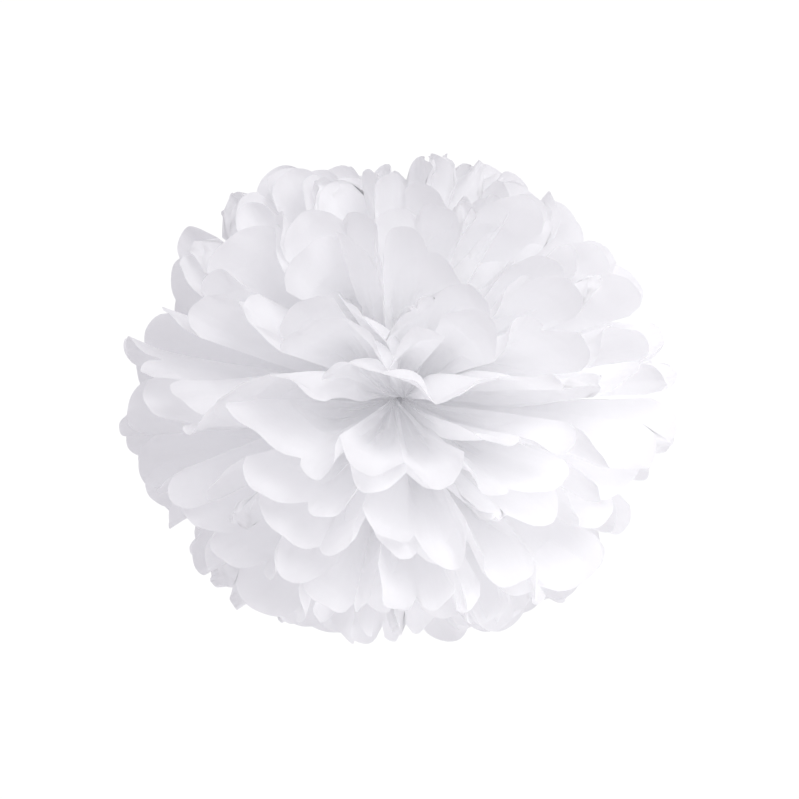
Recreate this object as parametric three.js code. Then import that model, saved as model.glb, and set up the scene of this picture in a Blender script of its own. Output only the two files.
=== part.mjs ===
// A tissue paper pom pom: a stack of thin paper sheets, pleated together into one strip, tied round its
// waist with a wire, and pulled open one sheet at a time into a ball of round-ended petals.
//
// Millimetres and degrees. +X and -X are the two ends of the pleated strip, +Z is up, and the pleats
// follow one another from the front, -Y, round each side to the back, +Y. The origin is the middle of
// the tied waist. Each sheet is one closed solid: its folds radiate from the waist, and the outer end
// of each panel between two folds is cut round. The sheets nest in each other like stacked fans.
import * as THREE from "three";

// The paper.
const SHEETS = 14;
const PANELS = 14; // panels across one sheet, each a petal at both ends
const SHEET_LENGTH = 250; // along the folds, from petal tip to petal tip
const SCALLOP_DEPTH = 13; // how far the rounded end of a panel reaches past the notch beside it
const PAPER_THICKNESS = 0.06;

// The waist, where the wire gathers all the pleats.
const WAIST_PITCH = 0.9; // from fold to fold across the strip
const WAIST_SHEET_STEP = 0.45; // from one sheet up to the next
const TURN_RADIUS = 4.5; // how tightly the folds turn out of the strip

// How steeply the folds stand. A level is counted in sheets from the middle of the stack, and the lists
// give the rise of a fold at the front and the back of the ball, and at its two sides.
const LEVELS = [0, 0.5, 1.5, 2.5, 3.5, 4.5, 5.5, 6.5, 9.5];
const FRONT_RISES = [0, 2.5, 11, 20, 29, 38, 49, 63, 90];
const SIDE_RISES = [0, 5, 15, 26, 38, 52, 68, 85, 98];

// The pleats. A mountain fold runs above its sheet's level and a valley fold below it.
const WAIST_PLEAT = 2.9; // in levels, in the waist
const PLEATS_OPEN_OVER = 4; // the length in which the tight pleats of the waist open

// What changes from the middle sheets out to the top and bottom ones.
const SHEET_LEVELS = [0.5, 1.5, 2.5, 3.5, 4.5, 5.5, 6.5];
const PLEATS = [0.3, 0.3, 0.3, 0.3, 0.28, 0.25, 0.22]; // in levels, away from the waist
const ARCHES = [0, 1, 2, 4, 6, 7, 8]; // how much less steep a fold is at the petal tip than at its start
const SHRINKS = [0, 0, 0.01, 0.02, 0.03, 0.06, 0.1]; // how much of a fold's length is lost in crumples
const SEAM_SHRINK = 0.05; // and how much more of it at the front and the back
const SEAM_GAP = 4; // between the two halves of a sheet, at the front and at the back
const SEAM_SHIFT = 12.5; // how far a sheet is turned round the ball, one to the left, the next to the right

// How unevenly the ball has been pulled open.
const TURN_JITTER = 1.5; // how far a fold strays round the ball
const RISE_JITTER = 0.6; // how far it strays up or down
const WANDER = 2.4; // how far a whole stretch of folds strays together
const WANDER_WAVES = 1.3; // how many such stretches there are from front to back
const WANDER_DRIFT = 0.06; // how far they move on from one sheet to the next
const IN_STEP_UNTIL = 14; // up to this far from the waist the sheets lie in step
const LOOSE_FROM = 64; // and from here on each fold keeps its own direction
const BULGE = 0.6; // how far a panel bows out between its folds
const BULGE_JITTER = 0.9; // and how far that strays from panel to panel

// The wire.
const WIRE_RADIUS = 0.5;
const WIRE_CLEARANCE = 0.35; // between the wire and the paper
const WIRE_CORNER_RADIUS = 1.6; // where the wire turns round the waist
const STRAND_OFFSET = 0.575; // from the middle of the twist to the middle of either strand
const TWIST_RISE = 1.5; // from the top of the loop to the foot of the twist
const TWIST_TURNS = 3;
const TWIST_LENGTH = 12;
const EYE_RADIUS = 3.5;
const EYE_RISE = 1; // from the top of the twist to the foot of the eye

// How finely the curves are drawn.
const HALF_LENGTH = SHEET_LENGTH / 2;
const NOTCH = HALF_LENGTH - SCALLOP_DEPTH;
const ROWS = [0, 2, 4.5, 8, 30, NOTCH]; // distances from the waist that a fold is drawn through
const SHOULDER = HALF_LENGTH - SCALLOP_DEPTH * (1 - Math.SQRT1_2); // halfway round a petal's end
const SHARPEST = 1.5; // a sharp fold is thickened by at most this many times the even thickness
const STEPS_PER_TWIST = 6;
const STEPS_PER_CORNER = 3;
const STEPS_PER_EYE = 10;
const WIRE_STEPS = 88;
const WIRE_FACETS = 3; // along half of the wire's section

const PAPER_FINISH = { color: "#ecebf1", roughness: 0.9, metalness: 0 };
const WIRE_FINISH = { color: "#e9e9ec", roughness: 0.45, metalness: 0 };

const radians = THREE.MathUtils.degToRad;
const mix = THREE.MathUtils.lerp;
const smooth = THREE.MathUtils.smoothstep;

// A fixed number from -1 to 1 for each set of whole numbers, so that every build gives the same ball.
function scatter(...keys) {
  const factors = [12.9898, 78.233, 37.719, 93.989];
  const mixed = keys.reduce((sum, key, i) => sum + (key + 1) * factors[i], 0);
  const wave = Math.sin(mixed) * 43758.5453;
  return 2 * (wave - Math.floor(wave)) - 1;
}

// A value from a list that goes with rising stations, straight between them and held at both ends.
function between(stations, values, station) {
  const last = stations.length - 1;
  const reached = stations.findIndex((each, i) => each >= station || i === last);
  const next = Math.max(1, reached);
  const step = stations[next] - stations[next - 1];
  const share = THREE.MathUtils.clamp((station - stations[next - 1]) / step, 0, 1);
  return mix(values[next - 1], values[next], share);
}

// Where a fold passes at some distance from the waist. side is +1 for the strip's +X end and -1 for its
// -X end. The fold leaves the waist along the strip, turns in an arc, and runs on nearly straight.
function foldPoint(sheet, side, fold, distance) {
  const share = fold / PANELS;
  const sideness = Math.sin(Math.PI * share);
  const mountain = fold % 2 ? -1 : 1;
  const sheetLevel = sheet - (SHEETS - 1) / 2;
  const ring = (values) => between(SHEET_LEVELS, values, Math.abs(sheetLevel));
  const tight = Math.exp(-distance / PLEATS_OPEN_OVER);
  const level = sheetLevel + mountain * mix(ring(PLEATS), WAIST_PLEAT, tight);
  const loose = smooth(distance, IN_STEP_UNTIL, LOOSE_FROM);

  const spread = mix(SEAM_GAP / 2, 180 - SEAM_GAP / 2, share);
  const shift = side * SEAM_SHIFT * (sheet % 2 ? 1 : -1);
  const turnJitter = TURN_JITTER * scatter(sheet, side, fold, 1) * sideness;
  const round = radians(spread + loose * (shift + turnJitter));

  const frontRise = between(LEVELS, FRONT_RISES, Math.abs(level));
  const sideRise = between(LEVELS, SIDE_RISES, Math.abs(level));
  const rise = mix(frontRise, sideRise, sideness);
  const wave = Math.sin(2 * Math.PI * (WANDER_WAVES * share + scatter(side, 0, 0, 2) + WANDER_DRIFT * sheet));
  const stray = WANDER * wave * sideness + RISE_JITTER * scatter(sheet, side, fold, 3);
  const arch = ring(ARCHES) * (0.5 - distance / HALF_LENGTH) * loose;
  const up = radians(Math.sign(level) * rise + Math.sign(sheetLevel) * arch + loose * stray);

  const outwards = new THREE.Vector3(
    side * Math.sin(round) * Math.cos(up),
    -Math.cos(round) * Math.cos(up),
    Math.sin(up),
  );
  const lost = ring(SHRINKS) + SEAM_SHRINK * (1 - sideness);
  const length = distance * (1 - loose * lost);
  const bend = Math.acos(side * outwards.x);
  const turned = Math.min(bend, length / TURN_RADIUS);
  const sideways = new THREE.Vector3(0, outwards.y, outwards.z).normalize();
  return new THREE.Vector3(
    side * TURN_RADIUS * Math.sin(turned),
    (fold - PANELS / 2) * WAIST_PITCH,
    level * WAIST_SHEET_STEP,
  )
    .addScaledVector(sideways, TURN_RADIUS * (1 - Math.cos(turned)))
    .addScaledVector(outwards, length - TURN_RADIUS * turned);
}

// The middle surface of one sheet: its points, and triangles that all face the same way.
function sheetSurface(sheet) {
  const points = [];
  const triangles = [];
  const add = (point) => points.push(point) - 1;
  const quad = (a, b, c, d, flip) => {
    triangles.push(...(flip ? [a, c, b, a, d, c] : [a, b, c, a, c, d]));
  };
  const away = Math.sign(sheet - (SHEETS - 1) / 2);
  const distances = [...ROWS, SHOULDER, HALF_LENGTH];
  const notchRow = ROWS.length - 1;
  const waist = [];
  for (const side of [1, -1]) {
    const flip = side < 0;
    const folds = [];
    for (let fold = 0; fold <= PANELS; fold++)
      folds.push(distances.map((distance) => foldPoint(sheet, side, fold, distance)));
    // A point of a panel, at a share of the way across it, bowed out from the straight chord.
    const onPanel = (panel, row, across) => {
      const a = folds[panel][row];
      const b = folds[panel + 1][row];
      const chord = b.clone().sub(a);
      const along = a.clone().sub(folds[panel][Math.max(0, row - 1)]);
      const out = chord.clone().cross(along).normalize().multiplyScalar(side * away);
      const bulge = BULGE + BULGE_JITTER * scatter(sheet, side, panel, 5);
      const bow = row ? bulge * smooth(distances[row], ROWS[2], HALF_LENGTH) * 4 * across * (1 - across) : 0;
      return a.clone().addScaledVector(chord, across).addScaledVector(out, bow);
    };
    const columns = [];
    for (let column = 0; column <= 2 * PANELS; column++) {
      const panel = Math.min(PANELS - 1, Math.floor(column / 2));
      const line = ROWS.map((_, row) => {
        if (row === 0 && side < 0) return waist[column];
        return add(column % 2 ? onPanel(panel, row, 0.5) : folds[column / 2][row].clone());
      });
      waist[column] = line[0];
      columns.push(line);
    }
    for (let column = 0; column < 2 * PANELS; column++)
      for (let row = 0; row < notchRow; row++) {
        const [near, far] = [columns[column], columns[column + 1]];
        quad(near[row], near[row + 1], far[row + 1], far[row], flip);
      }
    for (let panel = 0; panel < PANELS; panel++) {
      const [left, middle, right] = [0, 1, 2].map((i) => columns[2 * panel + i][notchRow]);
      const inset = (1 - Math.SQRT1_2) / 2;
      const near = add(onPanel(panel, notchRow + 1, inset));
      const end = add(onPanel(panel, notchRow + 2, 0.5));
      const far = add(onPanel(panel, notchRow + 1, 1 - inset));
      quad(left, near, end, middle, flip);
      quad(middle, end, far, right, flip);
    }
  }
  return { points, triangles };
}

// Gives a surface its thickness: a copy to each side of it, joined by a wall along its edge.
function thickened({ points, triangles }, thickness) {
  const normals = points.map(() => new THREE.Vector3());
  const faceNormals = [];
  for (let i = 0; i < triangles.length; i += 3) {
    const [a, b, c] = [0, 1, 2].map((j) => points[triangles[i + j]]);
    const normal = b.clone().sub(a).cross(c.clone().sub(a)).normalize();
    faceNormals.push(normal);
    for (let j = 0; j < 3; j++) normals[triangles[i + j]].add(normal);
  }
  normals.forEach((normal) => normal.normalize());
  const slants = normals.map(() => 1);
  triangles.forEach((vertex, i) => {
    const facing = normals[vertex].dot(faceNormals[Math.floor(i / 3)]);
    slants[vertex] = Math.min(slants[vertex], facing);
  });
  const position = [];
  for (const way of [1, -1])
    points.forEach((point, i) => {
      const offset = (way * thickness) / 2 / Math.max(slants[i], 1 / SHARPEST);
      position.push(...point.clone().addScaledVector(normals[i], offset).toArray());
    });
  const other = points.length;
  const index = [...triangles];
  const edges = new Map();
  for (let i = 0; i < triangles.length; i += 3) {
    const [a, b, c] = triangles.slice(i, i + 3);
    index.push(other + a, other + c, other + b);
    const walk = [
      [a, b],
      [b, c],
      [c, a],
    ];
    for (const [from, to] of walk) {
      const shared = edges.delete(to + "," + from);
      if (!shared) edges.set(from + "," + to, [from, to]);
    }
  }
  for (const [from, to] of edges.values()) {
    index.push(to, from, other + from);
    index.push(to, other + from, other + to);
  }
  return new THREE.BufferGeometry()
    .setAttribute("position", new THREE.Float32BufferAttribute(position, 3))
    .setIndex(index);
}

function tissueSheet(sheet) {
  const made = new THREE.Mesh(
    thickened(sheetSurface(sheet), PAPER_THICKNESS),
    new THREE.MeshStandardMaterial({ ...PAPER_FINISH, side: THREE.DoubleSide }),
  );
  made.name = "tissue_sheet_" + (sheet + 1);
  return made;
}

// One length of wire: down the twist, once round the waist, up the twist, and round into a hanging eye.
function tieWire() {
  const clear = WIRE_RADIUS + WIRE_CLEARANCE;
  const halfWidth = (PANELS / 2) * WAIST_PITCH + clear;
  const halfHeight = ((SHEETS - 1) / 2 + WAIST_PLEAT) * WAIST_SHEET_STEP + clear;
  const foot = halfHeight + TWIST_RISE;
  const route = [];
  const atTwist = (share, start) => {
    const angle = start + 2 * Math.PI * TWIST_TURNS * share;
    const height = foot + TWIST_LENGTH * share;
    return new THREE.Vector3(STRAND_OFFSET * Math.sin(angle), STRAND_OFFSET * Math.cos(angle), height);
  };
  const arc = (y, z, radius, from, turn, steps, skipped) => {
    for (let i = skipped; i <= steps - skipped; i++) {
      const angle = from + turn * (i / steps);
      route.push(new THREE.Vector3(0, y + radius * Math.cos(angle), z + radius * Math.sin(angle)));
    }
  };
  const corner = (y, z, from) => arc(y, z, WIRE_CORNER_RADIUS, from, Math.PI / 2, STEPS_PER_CORNER, 0);
  const cornerY = halfWidth - WIRE_CORNER_RADIUS;
  const cornerZ = halfHeight - WIRE_CORNER_RADIUS;
  const twistSteps = TWIST_TURNS * STEPS_PER_TWIST;
  for (let i = twistSteps; i >= 0; i--) route.push(atTwist(i / twistSteps, Math.PI));
  corner(-cornerY, cornerZ, Math.PI / 2);
  corner(-cornerY, -cornerZ, Math.PI);
  corner(cornerY, -cornerZ, 1.5 * Math.PI);
  corner(cornerY, cornerZ, 0);
  for (let i = 0; i <= twistSteps; i++) route.push(atTwist(i / twistSteps, 0));
  const eyeMiddle = foot + TWIST_LENGTH + EYE_RISE + EYE_RADIUS;
  arc(0, eyeMiddle, EYE_RADIUS, -Math.PI / 2, 2 * Math.PI, STEPS_PER_EYE, 1);

  const section = new THREE.Shape().absarc(0, 0, WIRE_RADIUS, 0, 2 * Math.PI);
  const geometry = new THREE.ExtrudeGeometry(section, {
    extrudePath: new THREE.CatmullRomCurve3(route),
    steps: WIRE_STEPS,
    curveSegments: WIRE_FACETS,
    bevelEnabled: false,
  });
  const made = new THREE.Mesh(geometry, new THREE.MeshStandardMaterial(WIRE_FINISH));
  made.name = "tie_wire";
  return made;
}

const pomPom = new THREE.Group();
for (let sheet = 0; sheet < SHEETS; sheet++) pomPom.add(tissueSheet(sheet));
pomPom.add(tieWire());

export default pomPom;
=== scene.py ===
"""A white tissue paper pom pom, made the way a real one is: fourteen sheets of tissue, pleated together into
a strip, rounded at both ends, tied round the waist with a thin wire and pulled open into a ball.

Metres, +Z up. The strip runs along X, its pleats follow one another from the front (-Y) round each side
to the back, and the origin is the middle of the tied waist.
"""

import math

import bpy
import numpy as np
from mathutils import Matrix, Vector


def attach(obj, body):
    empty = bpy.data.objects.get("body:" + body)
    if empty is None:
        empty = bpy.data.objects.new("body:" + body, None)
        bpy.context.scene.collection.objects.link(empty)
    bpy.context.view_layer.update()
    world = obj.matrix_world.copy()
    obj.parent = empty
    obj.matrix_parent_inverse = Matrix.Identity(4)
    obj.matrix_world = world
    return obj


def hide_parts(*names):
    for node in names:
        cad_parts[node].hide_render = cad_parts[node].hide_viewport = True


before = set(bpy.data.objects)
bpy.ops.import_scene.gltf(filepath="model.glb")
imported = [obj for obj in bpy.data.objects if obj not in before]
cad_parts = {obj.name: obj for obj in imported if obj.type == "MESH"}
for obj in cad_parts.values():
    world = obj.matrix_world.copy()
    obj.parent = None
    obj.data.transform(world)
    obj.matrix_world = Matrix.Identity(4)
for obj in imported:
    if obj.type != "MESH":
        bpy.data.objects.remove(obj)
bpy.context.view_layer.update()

MM = 0.001

# ---------------------------------------------------------------- the paper, in millimetres and degrees

SHEETS = 14
PANELS = 14
SHEET_LENGTH = 250.0
SHEET_WIDTH = 375.0
PANEL_WIDTH = SHEET_WIDTH / PANELS
HALF_LENGTH = SHEET_LENGTH / 2
# The ends of the folded strip are cut round. A fullness of 2 is half an ellipse, and more is squarer.
SCALLOP_DEPTH = 13.0
LOBE_FULLNESS = 2.2
NOTCH = HALF_LENGTH - SCALLOP_DEPTH
TISSUE_THICKNESS = 0.05

# Where the stack of sheets is in the middle: 0.5 is the first sheet above it.
MIDDLE = (SHEETS - 1) / 2

# The waist: how far apart the folds and the sheets are there, half the depth of the closed pleats, in
# sheets, and how soon they open. TURN_RADIUS is how tightly the paper turns up or down beside the wire.
WAIST_PITCH = 0.9
WAIST_SHEET_STEP = 0.45
WAIST_PLEAT = 2.9
PLEATS_OPEN_OVER = 4.0
TURN_RADIUS = 2.5

# How steeply the sheets stand when the ball is open. Levels are counted in sheets from the middle of the
# stack. The petals next to the seams, at the front and back, lie flatter than the ones at the sides.
LEVELS = [-9.5, -6.5, -5.5, -4.5, -3.5, -2.5, -1.5, -0.5, 0.5, 1.5, 2.5, 3.5, 4.5, 5.5, 6.5, 9.5]
FRONT_RISES = [-100, -68, -54, -44.5, -36.5, -29, -21.5, -13.5, 5, 13.5, 20.5, 28.5, 38, 50, 66, 100]
SIDE_RISES = [-113, -82, -65, -50, -38, -26, -15, -5, 5, 15, 26, 38, 50, 65, 82, 113]

# What changes from the middle sheets to the pole sheets, one value for each of these levels.
RING_LEVELS = [0.5, 1.5, 2.5, 3.5, 4.5, 5.5, 6.5]
# Half the depth of the open pleats, in sheets, at the seams and at the sides.
FRONT_PLEATS = [0.15, 0.42, 0.5, 0.5, 0.5, 0.5, 0.5]
SIDE_PLEATS = [0.5, 0.5, 0.5, 0.5, 0.5, 0.5, 0.5]
# How many degrees steeper a sheet stands near the waist than at its tips.
ARCHES = [0, 1, 2, 4, 6, 10, 18]
# The share of its length by which every petal of a sheet falls short, how much more single ones may, and
# how much more the ones next to the seams do.
SHRINKS = [0, 0.02, 0.03, 0.04, 0.05, 0.08, 0.11]
FOLD_SHRINKS = [0.02, 0.07, 0.08, 0.08, 0.08, 0.07, 0.07]
SEAM_SHRINK = 0.03
# How high the waves are that take up paper deep inside the ball, and how far apart they are. They slant
# across the petal by some part of a wave, start and end over these distances, and leave the tips smooth.
CRUMPLES = [0, 0, 0.2, 0.7, 1.4, 2.1, 3.3]
CRUMPLE_PITCH = 12.0
CRUMPLE_SLANT = 0.8
CRUMPLES_START = (8, 20)
CRUMPLES_END = (58, 88)

# Both halves of a sheet run a little past the seams. Each sheet is turned round the ball by about one
# panel, one to the left and the next to the right, and the pole sheets by two, so that a seam lies behind
# the petals of its neighbours. The twist keeps the folds from lining up from sheet to sheet.
SEAM_OVERLAP = 2.0
SEAM_SHIFT = 13.1
POLE_SHIFT = 26.3
POLE_FROM = 3
TWIST = -1.5
# At the seams one half's end lies over the other half's, by this much of the step between two sheets.
SEAM_LAP = 0.12
SEAM_LAP_SHARES = [0, 0.1, 0.9, 1]
SEAM_LAP_SIDES = [1, 0, 0, -1]

# The sheet just above the middle crosses the front as a ridge. It is turned a little, its front pleats go
# the other way, its tip droops, and its petals nearest to the seam stay smooth.
RIDGE_SHEET = SHEETS // 2
RIDGE_TURN = -3.0
RIDGE_FLIPPED_SHARES = [0.15, 0.35]
RIDGE_DROOP = 4.5
RIDGE_DROOPS_OVER = (75, HALF_LENGTH + 15)
RIDGE_DROOP_FADE = 4
RIDGE_PANELS = 4
RIDGE_CURL = 0.2

# Handmade unevenness, in degrees. Close to the wire the sheets keep in step, and further out each goes
# its own way. Wander and sway are long and short waves along a sheet, counted per half sheet, that move
# on a little from sheet to sheet.
IN_STEP_UNTIL = 14.0
LOOSE_FROM = 64.0
TURN_JITTER = 2.2
RISE_JITTER = 1.0
WANDER = 2.4
WANDER_WAVES = 1.3
WANDER_STEP = 0.06
SWAY = 2.5
SWAY_WAVES = 2.6
SWAY_STEP = 0.13
TIPS_FROM = 30
TIP_TURN = 3.2
TIP_RISE = 2.2

# How much of a panel's width there is at some distances from the waist: the wire crushes the rest.
PAPER_AT = [0, 3, 12, 30, 60, 95, HALF_LENGTH]
PAPER_WIDTHS = [2.6, 5, 15, 22, 25, 26.5, PANEL_WIDTH]

# The cross-section of a petal: how narrow and how wide its arch may get for its length, which scattered
# numbers make it bow inwards instead (one in eight), how uneven that is, and how much flatter it gets
# towards the tip.
NARROWEST_ARCH = 0.64
WIDEST_ARCH = 0.995
BOW_INWARDS_BELOW = -0.75
BOW_JITTER = 0.1
BOW_FADE = 0.3
BOW_FADES_FROM = 60
# The narrow folds that take up the rest of its width, and how their number and place vary.
GATHERS = 2.4
GATHERS_JITTER = 0.9
GATHERS_SHIFT = 3
# How quickly they grow from nothing beside a fold.
HELD_BY_FOLD = 6

# The free end. Some ends are pinched to a point, more of them at the sides; every end narrows a little.
PINCHED = 0.8
PINCHED_ABOVE = 0.9
PINCHED_MORE_BESIDE = 0.3
UNPINCHED = 0.12
CURLS_FROM = 70
CURL_LIMIT = 1.1
CURL = 1.5
CURL_JITTER = 5.0
FLUTTER = 0.7
FLUTTER_WAVES = 1.6

# How fine the paper is drawn.
ACROSS_PANEL = 14
ALONG_HALF = 48
SHARP_EDGE = 50

# ---------------------------------------------------------------- where the folds lie

# What a fixed scattered number is for: no two kinds share one.
FOR_TURN, FOR_WAVES, FOR_RISE = 1, 2, 3
FOR_BOW_SIDE, FOR_BOW_SIZE, FOR_GATHERS, FOR_GATHERS_SHIFT = 5, 6, 8, 9
FOR_CURL, FOR_FLUTTER, FOR_TIP_TURN, FOR_TIP_RISE = 10, 11, 12, 13
FOR_PINCH, FOR_CRUMPLE, FOR_LENGTH = 14, 15, 16
SCATTER_FACTORS = (12.9898, 78.233, 37.719, 93.989)
SCATTER_SIZE = 43758.5453


def scatter(*keys):
    """A fixed number from -1 to 1 for each set of whole numbers."""
    mixed = sum((key + 1) * factor for key, factor in zip(keys, SCATTER_FACTORS))
    wave = math.sin(mixed) * SCATTER_SIZE
    return 2 * (wave - math.floor(wave)) - 1


def mix(a, b, share):
    return a + (b - a) * share


def smooth(x, low, high):
    share = np.clip((np.asarray(x, float) - low) / (high - low), 0, 1)
    return share * share * (3 - 2 * share)


def ring(sheet, values):
    """A sheet's value out of a list that runs from the middle sheets to the pole sheets."""
    return float(np.interp(abs(sheet - MIDDLE), RING_LEVELS, values))


def pleat_at(sheet, share, distance):
    """How many sheets above or below its sheet a mountain fold lies at some distances from the waist."""
    pleat = mix(ring(sheet, FRONT_PLEATS), ring(sheet, SIDE_PLEATS), math.sin(math.pi * share))
    if sheet == RIDGE_SHEET:
        pleat = pleat * np.interp(share, RIDGE_FLIPPED_SHARES, [-1, 1])
    if abs(sheet - MIDDLE) > POLE_FROM:
        pleat = -pleat
    return mix(pleat, WAIST_PLEAT, np.exp(-distance / PLEATS_OPEN_OVER))


def fold_at(sheet, side, fold, distance):
    """Where a fold passes at some distances from the waist."""
    distance = np.asarray(distance, float)
    share = fold / PANELS
    beside = math.sin(math.pi * share)
    sheet_level = sheet - MIDDLE
    mountain = -1 if fold % 2 else 1
    loose = smooth(distance, IN_STEP_UNTIL, LOOSE_FROM)
    free = smooth(distance, TIPS_FROM, HALF_LENGTH)
    lap = np.interp(share, SEAM_LAP_SHARES, SEAM_LAP_SIDES)
    level = sheet_level + mountain * pleat_at(sheet, share, distance) + SEAM_LAP * side * loose * lap

    # Which way it points, round the ball.
    shift = POLE_SHIFT if abs(sheet_level) > POLE_FROM else SEAM_SHIFT
    turn = shift * (-1) ** sheet + TWIST * sheet_level
    if sheet == RIDGE_SHEET:
        turn = turn + RIDGE_TURN
    jitter = TURN_JITTER * scatter(sheet, side, fold, FOR_TURN) * beside
    around = np.radians(mix(-SEAM_OVERLAP, 180 + SEAM_OVERLAP, share) + side * turn + jitter * loose)
    around = around + np.radians(TIP_TURN * free * scatter(sheet, side, fold, FOR_TIP_TURN) * beside)

    # How steeply it stands.
    rise = mix(np.interp(level, LEVELS, FRONT_RISES), np.interp(level, LEVELS, SIDE_RISES), beside)
    wander = WANDER_WAVES * share + scatter(side, 0, 0, FOR_WAVES) + WANDER_STEP * sheet
    sway = SWAY_WAVES * share + SWAY_STEP * sheet + scatter(side, 0, 1, FOR_WAVES)
    stray = WANDER * math.sin(2 * math.pi * wander) + RISE_JITTER * scatter(sheet, side, fold, FOR_RISE)
    stray = stray + TIP_RISE * free * scatter(sheet, side, fold, FOR_TIP_RISE)
    stray = stray + SWAY * free * math.sin(2 * math.pi * sway)
    if sheet == RIDGE_SHEET:
        droop = RIDGE_DROOP * smooth(distance, *RIDGE_DROOPS_OVER)
        stray = stray - droop * max(0, 1 - RIDGE_DROOP_FADE * share)
    arch = ring(sheet, ARCHES) * (0.5 - distance / HALF_LENGTH) * loose
    up = np.radians(rise + np.sign(sheet_level) * arch + loose * stray)

    # From its place in the waist it turns outwards in an arc, and then runs on straight.
    outwards = np.stack([side * np.sin(around) * np.cos(up), -np.cos(around) * np.cos(up), np.sin(up)], -1)
    bend = np.arccos(np.clip(side * outwards[..., 0], -1, 1))
    lost = ring(sheet, SHRINKS) + SEAM_SHRINK * (1 - beside)
    lost = lost + ring(sheet, FOLD_SHRINKS) * (0.5 + 0.5 * scatter(sheet, side, fold, FOR_LENGTH))
    length = distance * (1 - loose * lost)
    turned = np.minimum(bend, length / TURN_RADIUS)
    sideways = outwards * [0, 1, 1]
    sideways /= np.linalg.norm(sideways, axis=-1, keepdims=True)
    along_strip = side * TURN_RADIUS * np.sin(turned)
    across_strip = np.full_like(distance, (fold - PANELS / 2) * WAIST_PITCH)
    start = np.stack([along_strip, across_strip, level * WAIST_SHEET_STEP], -1)
    arc = sideways * (TURN_RADIUS * (1 - np.cos(turned)))[..., None]
    return start + arc + outwards * (length - TURN_RADIUS * turned)[..., None]


# ---------------------------------------------------------------- the paper between the folds

# The half angle of an arch whose chord is some share of its length.
ARCH_ANGLES = np.linspace(0.02, 2.0, 200)
ARCH_SHARES = np.sin(ARCH_ANGLES) / ARCH_ANGLES
# How steep small waves are for the times that they lengthen a line.
WAVE_SLOPES = np.linspace(0, 9, 200)
WAVE_PHASES = np.linspace(0, np.pi, 200)
WAVE_LENGTHS = np.sqrt(1 + (WAVE_SLOPES[:, None] * np.cos(WAVE_PHASES)) ** 2).mean(1)


def unit(vectors):
    return vectors / np.maximum(np.linalg.norm(vectors, axis=-1, keepdims=True), 1e-9)


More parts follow.
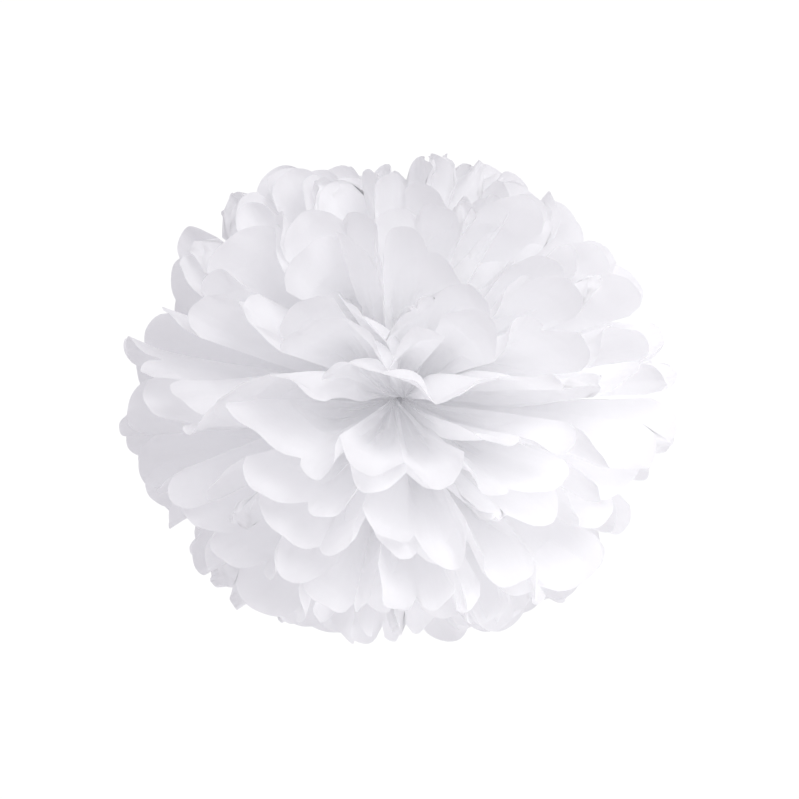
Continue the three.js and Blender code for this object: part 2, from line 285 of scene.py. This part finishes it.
def petal_at(sheet, side, panel, across, distance):
    """The paper of one petal: at some shares of the way across it, and distances from the waist."""
    a = fold_at(sheet, side, panel, distance)
    b = fold_at(sheet, side, panel + 1, distance)
    ahead = fold_at(sheet, side, panel, distance + 1) + fold_at(sheet, side, panel + 1, distance + 1) - a - b
    chord = b - a
    width = np.linalg.norm(chord, axis=-1)
    away = -unit(np.cross(chord, ahead)) * side * np.sign(sheet - MIDDLE)
    calm = sheet == RIDGE_SHEET and panel < RIDGE_PANELS

    # Past the notches the rounded end is free of its neighbours, and keeps its own width or is pinched.
    widest = np.linalg.norm(fold_at(sheet, side, panel + 1, NOTCH) - fold_at(sheet, side, panel, NOTCH))
    kept = np.where(distance > NOTCH, np.minimum(1, widest / np.maximum(width, 1e-6)), 1)
    beside = math.sin(math.pi * (panel + 0.5) / PANELS)
    pointed = scatter(sheet, side, panel, FOR_PINCH) > PINCHED_ABOVE - PINCHED_MORE_BESIDE * beside
    pinch = PINCHED if pointed and not calm else UNPINCHED
    kept = kept * (1 - pinch * np.clip((distance - NOTCH) / SCALLOP_DEPTH, 0, 1))
    a = a + chord * (0.5 * (1 - kept))[..., None]
    width = width * kept

    # The paper between two folds is wider than the gap, so it bows out between them in an arch.
    paper = np.interp(distance, PAPER_AT, PAPER_WIDTHS)
    arch_share = np.clip(width / paper, NARROWEST_ARCH, WIDEST_ARCH)
    angle = np.interp(-arch_share, -ARCH_SHARES, ARCH_ANGLES)
    swing = angle * (2 * across - 1)
    along = 0.5 * (1 + np.sin(swing) / np.sin(angle))
    height = 0.5 * width * (np.cos(swing) - np.cos(angle)) / np.sin(angle)
    bow = 1.0 if scatter(sheet, side, panel, FOR_BOW_SIDE) > BOW_INWARDS_BELOW else -1.0
    bow *= 1 - BOW_JITTER + BOW_JITTER * scatter(sheet, side, panel, FOR_BOW_SIZE)
    bow = bow * (1 - BOW_FADE * smooth(distance, BOW_FADES_FROM, HALF_LENGTH))

    # The rest of the paper's width is gathered in narrow folds, which fade out towards the tip.
    held = np.minimum(1, HELD_BY_FOLD * across * (1 - across))
    longer = np.maximum(paper * arch_share / np.maximum(width, 0.5), 1)
    slope = np.interp(longer, WAVE_LENGTHS, WAVE_SLOPES)
    gathers = GATHERS + GATHERS_JITTER * scatter(sheet, side, panel, FOR_GATHERS)
    gather = width / arch_share / (2 * np.pi * gathers) * slope * held
    shifted = GATHERS_SHIFT * scatter(sheet, side, panel, FOR_GATHERS_SHIFT)
    gather = gather * np.sin(2 * np.pi * gathers * across + shifted)

    # The free tip curls, and its edge flutters a little.
    tip = np.clip((distance - CURLS_FROM) / (HALF_LENGTH - CURLS_FROM), 0, CURL_LIMIT) ** 2
    window = np.sin(np.pi * across)
    curl = (CURL + CURL_JITTER * scatter(sheet, side, panel, FOR_CURL)) * tip * window
    curl = curl * (RIDGE_CURL if calm else 1)
    flutter = FLUTTER_WAVES * across + scatter(sheet, side, panel, FOR_FLUTTER)
    flutter = FLUTTER * tip * window * np.sin(2 * np.pi * flutter)

    # Deep inside the ball the outer sheets are crumpled.
    crumple = ring(sheet, CRUMPLES) * smooth(distance, *CRUMPLES_START)
    crumple = crumple * (1 - smooth(distance, *CRUMPLES_END))
    waves = distance / CRUMPLE_PITCH + CRUMPLE_SLANT * across + scatter(sheet, side, panel, FOR_CRUMPLE)
    crumple = crumple * np.sin(2 * np.pi * waves) * held

    lift = bow * (height + gather * np.cos(swing)) + curl + flutter + crumple
    slide = along * width + gather * np.sin(swing)
    return a + unit(chord) * slide[..., None] + away * lift[..., None]


def sheet_points(sheet):
    """Every point of one open sheet, and its place on the flat sheet, row by row along the folds."""
    columns = PANELS * ACROSS_PANEL + 1
    rows = 2 * ALONG_HALF + 1
    place = np.zeros((columns, rows, 3))
    flat = np.zeros((columns, rows, 2))
    reach = np.linspace(-1, 1, rows)
    share = np.linspace(0, 1, ACROSS_PANEL + 1)[:, None] * np.ones((1, rows))
    round_end = np.clip(1 - np.abs(2 * share - 1) ** LOBE_FULLNESS, 0, 1) ** (1 / LOBE_FULLNESS)
    distance = np.abs(reach)[None, :] * (HALF_LENGTH - SCALLOP_DEPTH * (1 - round_end))
    for panel in range(PANELS):
        first = panel * ACROSS_PANEL
        last = first + ACROSS_PANEL + 1
        for side in (1, -1):
            half = reach * side >= 0
            place[first:last, half] = petal_at(sheet, side, panel, share[:, half], distance[:, half])
        flat[first:last, :, 0] = np.sign(reach)[None, :] * distance
        flat[first:last, :, 1] = (panel + share) * PANEL_WIDTH - SHEET_WIDTH / 2
    return place * MM, flat * MM


def tissue_sheet(sheet, paper):
    """One sheet: laid out flat, its ends cut round, then folded and opened, and given its thickness."""
    bpy.ops.object.select_all(action="DESELECT")
    columns = PANELS * ACROSS_PANEL
    rows = 2 * ALONG_HALF
    bpy.ops.mesh.primitive_grid_add(x_subdivisions=columns, y_subdivisions=rows, size=1)
    piece = bpy.context.object
    piece.name = f"tissue_paper_{sheet + 1}"
    mesh = piece.data
    corners = np.zeros(len(mesh.vertices) * 3)
    mesh.vertices.foreach_get("co", corners)
    corners = corners.reshape(-1, 3)
    column = np.rint((corners[:, 0] + 0.5) * columns).astype(int)
    row = np.rint((corners[:, 1] + 0.5) * rows).astype(int)
    place, flat = sheet_points(sheet)
    mesh.vertices.foreach_set("co", place[column, row].ravel())
    loops = np.zeros(len(mesh.loops), int)
    mesh.loops.foreach_get("vertex_index", loops)
    mesh.uv_layers.active.data.foreach_set("uv", flat[column[loops], row[loops]].ravel())
    mesh.update()
    thickness = piece.modifiers.new("thickness", "SOLIDIFY")
    thickness.thickness = TISSUE_THICKNESS * MM
    thickness.offset = 0
    bpy.ops.object.modifier_apply(modifier=thickness.name)
    bpy.ops.object.shade_smooth_by_angle(angle=math.radians(SHARP_EDGE))
    piece.data.materials.clear()
    piece.data.materials.append(paper)
    return piece, flat


# ---------------------------------------------------------------- materials

# A Mix node's colour sockets, which have the same names as its number sockets.
MIX_A, MIX_B, MIX_RESULT = 6, 7, 2
# A Mix Shader node's sockets.
FACTOR, FIRST, SECOND = 0, 1, 2
# The camera sees floor and backdrop a little above full white, so that both are plain.
WHITE_LEVEL = 1.05


def linear(code):
    """An sRGB hex colour as linear RGBA."""
    values = [int(code[i : i + 2], 16) / 255 for i in (1, 3, 5)]
    return [v / 12.92 if v <= 0.04045 else ((v + 0.055) / 1.055) ** 2.4 for v in values] + [1.0]


def node(tree, kind, links=None, **settings):
    """Adds a node, sets its properties and input values, and links its inputs."""
    made = tree.nodes.new(kind)
    for name, value in settings.items():
        if hasattr(made, name):
            setattr(made, name, value)
        else:
            made.inputs[name.replace("_", " ")].default_value = value
    for name, source in (links or {}).items():
        tree.links.new(source, made.inputs[name])
    return made


def bare_material(name):
    material = bpy.data.materials.new(name)
    material.use_nodes = True
    tree = material.node_tree
    tree.nodes.clear()
    return material, tree


def seen_as(tree, real, shown):
    """Light meets the real thing, and the camera sees what is shown."""
    ray = node(tree, "ShaderNodeLightPath")
    links = {FACTOR: ray.outputs["Is Camera Ray"], FIRST: real, SECOND: shown}
    return node(tree, "ShaderNodeMixShader", links).outputs["Shader"]


def bleached_tissue():
    """Bleached tissue paper of about 17 g/m2: dull, faintly cool white, and so thin that more than half of
    the light goes through it, which fills the shadows between the petals. A small even glow is painted
    into the paper as light, which lightens it and its shaded creases. The map counts metres of flat sheet."""
    material, tree = bare_material("bleached_tissue_paper")
    uv = node(tree, "ShaderNodeUVMap")
    # The cloudy thickness of thin paper, in patches about 4 mm across.
    cloud = node(tree, "ShaderNodeTexNoise", {"Vector": uv.outputs["UV"]}, Scale=260.0, Detail=3.0)
    # Fibres, drawn 0.7 mm long so that they show: real ones are finer.
    fibre = node(tree, "ShaderNodeTexNoise", {"Vector": uv.outputs["UV"]}, Scale=1400.0, Detail=2.0)
    # Soft creases along the folds, about 70 mm long and 5 mm apart.
    crease = node(tree, "ShaderNodeMapping", {"Vector": uv.outputs["UV"]})
    crease.inputs["Scale"].default_value = (14.0, 190.0, 1.0)
    gathers = node(tree, "ShaderNodeTexNoise", {"Vector": crease.outputs["Vector"]}, Scale=1.0, Detail=2.0)
    bump = None
    for height, strength, depth in ((gathers, 0.35, 0.0012), (cloud, 0.25, 0.0006), (fibre, 0.15, 0.0002)):
        links = {"Height": height.outputs["Fac"]}
        if bump:
            links["Normal"] = bump.outputs["Normal"]
        bump = node(tree, "ShaderNodeBump", links, Strength=strength, Distance=depth)
    tint = node(tree, "ShaderNodeMix", {"Factor": cloud.outputs["Fac"]}, data_type="RGBA")
    tint.inputs[MIX_A].default_value = linear("#FDFDFD")
    tint.inputs[MIX_B].default_value = linear("#FEFEFE")
    white = tint.outputs[MIX_RESULT]
    surface = {"Base Color": white, "Normal": bump.outputs["Normal"]}
    paper = node(tree, "ShaderNodeBsdfPrincipled", surface, Roughness=0.85, IOR=1.45)
    paper.inputs["Specular IOR Level"].default_value = 0.25
    # Painted light: the paper glows a little by itself, faintly cool, which lightens its shaded creases.
    paper.inputs["Emission Color"].default_value = linear("#F8F7FF")
    paper.inputs["Emission Strength"].default_value = 0.044
    glow = node(tree, "ShaderNodeBsdfTranslucent", {"Color": white, "Normal": bump.outputs["Normal"]})
    both = node(tree, "ShaderNodeMixShader", {FIRST: paper.outputs["BSDF"], SECOND: glow.outputs["BSDF"]})
    both.inputs[FACTOR].default_value = 0.55
    node(tree, "ShaderNodeOutputMaterial", {"Surface": both.outputs["Shader"]})
    return material


def lacquered_wire():
    """Florist's wire with a thin white lacquer: smooth, with a soft gloss and a faint grain of 1 mm."""
    material, tree = bare_material("white_lacquered_wire")
    place = node(tree, "ShaderNodeTexCoord")
    grain = node(tree, "ShaderNodeTexNoise", {"Vector": place.outputs["Object"]}, Scale=900.0, Detail=2.0)
    bump = node(tree, "ShaderNodeBump", {"Height": grain.outputs["Fac"]}, Strength=0.2, Distance=0.0001)
    surface = {"Normal": bump.outputs["Normal"]}
    lacquer = node(tree, "ShaderNodeBsdfPrincipled", surface, Roughness=0.38, IOR=1.5)
    lacquer.inputs["Base Color"].default_value = linear("#E9E9EB")
    node(tree, "ShaderNodeOutputMaterial", {"Surface": lacquer.outputs["BSDF"]})
    return material


def plain_floor():
    """Matte white paper sweep. It lights the ball as paper does, and looks plain white itself."""
    material, tree = bare_material("white_sweep")
    place = node(tree, "ShaderNodeTexCoord")
    grain = node(tree, "ShaderNodeTexNoise", {"Vector": place.outputs["Object"]}, Scale=40.0, Detail=2.0)
    tint = node(tree, "ShaderNodeMix", {"Factor": grain.outputs["Fac"]}, data_type="RGBA")
    tint.inputs[MIX_A].default_value = linear("#FCFCFC")
    tint.inputs[MIX_B].default_value = linear("#FEFEFE")
    surface = {"Base Color": tint.outputs[MIX_RESULT]}
    matte = node(tree, "ShaderNodeBsdfPrincipled", surface, Roughness=0.95)
    lit = node(tree, "ShaderNodeEmission", Color=linear("#FFFFFF"), Strength=WHITE_LEVEL)
    seen = seen_as(tree, matte.outputs["BSDF"], lit.outputs["Emission"])
    node(tree, "ShaderNodeOutputMaterial", {"Surface": seen})
    return material


# ---------------------------------------------------------------- the object

tissue = bleached_tissue()
for sheet in range(SHEETS):
    piece, flat = tissue_sheet(sheet, tissue)
    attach(piece, "root")
    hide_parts(f"tissue_sheet_{sheet + 1}")

wire = bpy.data.objects["tie_wire"]
wire.data.materials.clear()
wire.data.materials.append(lacquered_wire())

# ---------------------------------------------------------------- floor, light and camera

FLOOR_SIZE = 12
FLOOR_HEIGHT = -0.75
AIR_LIGHT = 0.6
# Soft lamps aimed at the ball: place, size and power. The key is high, in front and to the right, and the
# rim lamp is low on the right.
LAMPS = {"key": ((0.6, -1.4, 0.8), 1.2, 11), "low_rim": ((0.8, 0.1, -0.65), 0.8, 4.4)}
# The camera looks level from the front, from as far away as makes the view this wide at the ball's middle.
LENS = 100
SENSOR_WIDTH = 36
VIEW_WIDTH = 0.353
# Light goes from petal to petal many times in white tissue.
BOUNCES = 32

bpy.ops.object.select_all(action="DESELECT")
bpy.ops.mesh.primitive_plane_add(size=FLOOR_SIZE, location=(0, 0, FLOOR_HEIGHT))
floor = bpy.context.object
floor.name = "floor"
floor.data.materials.append(plain_floor())

world = bpy.data.worlds.new("soft_box")
bpy.context.scene.world = world
world.use_nodes = True
air = world.node_tree
air.nodes.clear()
around_it = node(air, "ShaderNodeBackground", Color=linear("#FAF7FF"), Strength=AIR_LIGHT)
backdrop = node(air, "ShaderNodeBackground", Color=linear("#FFFFFF"), Strength=WHITE_LEVEL)
seen = seen_as(air, around_it.outputs["Background"], backdrop.outputs["Background"])
node(air, "ShaderNodeOutputWorld", {"Surface": seen})

for name, (place, size, power) in LAMPS.items():
    light = bpy.data.lights.new(name, "AREA")
    light.shape = "DISK"
    light.size = size
    light.energy = power
    lamp = bpy.data.objects.new(name, light)
    bpy.context.scene.collection.objects.link(lamp)
    lamp.location = place
    lamp.rotation_euler = (-Vector(place)).to_track_quat("-Z", "Y").to_euler()

camera = bpy.data.cameras.new("camera")
camera.lens = LENS
camera.sensor_width = SENSOR_WIDTH
eye = bpy.data.objects.new("camera", camera)
bpy.context.scene.collection.objects.link(eye)
eye.location = (0, -VIEW_WIDTH * LENS / SENSOR_WIDTH, 0)
eye.rotation_euler = (math.pi / 2, 0, 0)
bpy.context.scene.camera = eye
bpy.context.scene.view_settings.view_transform = "Standard"
bpy.context.scene.cycles.max_bounces = BOUNCES
bpy.context.scene.cycles.diffuse_bounces = BOUNCES
bpy.context.scene.cycles.transmission_bounces = BOUNCES
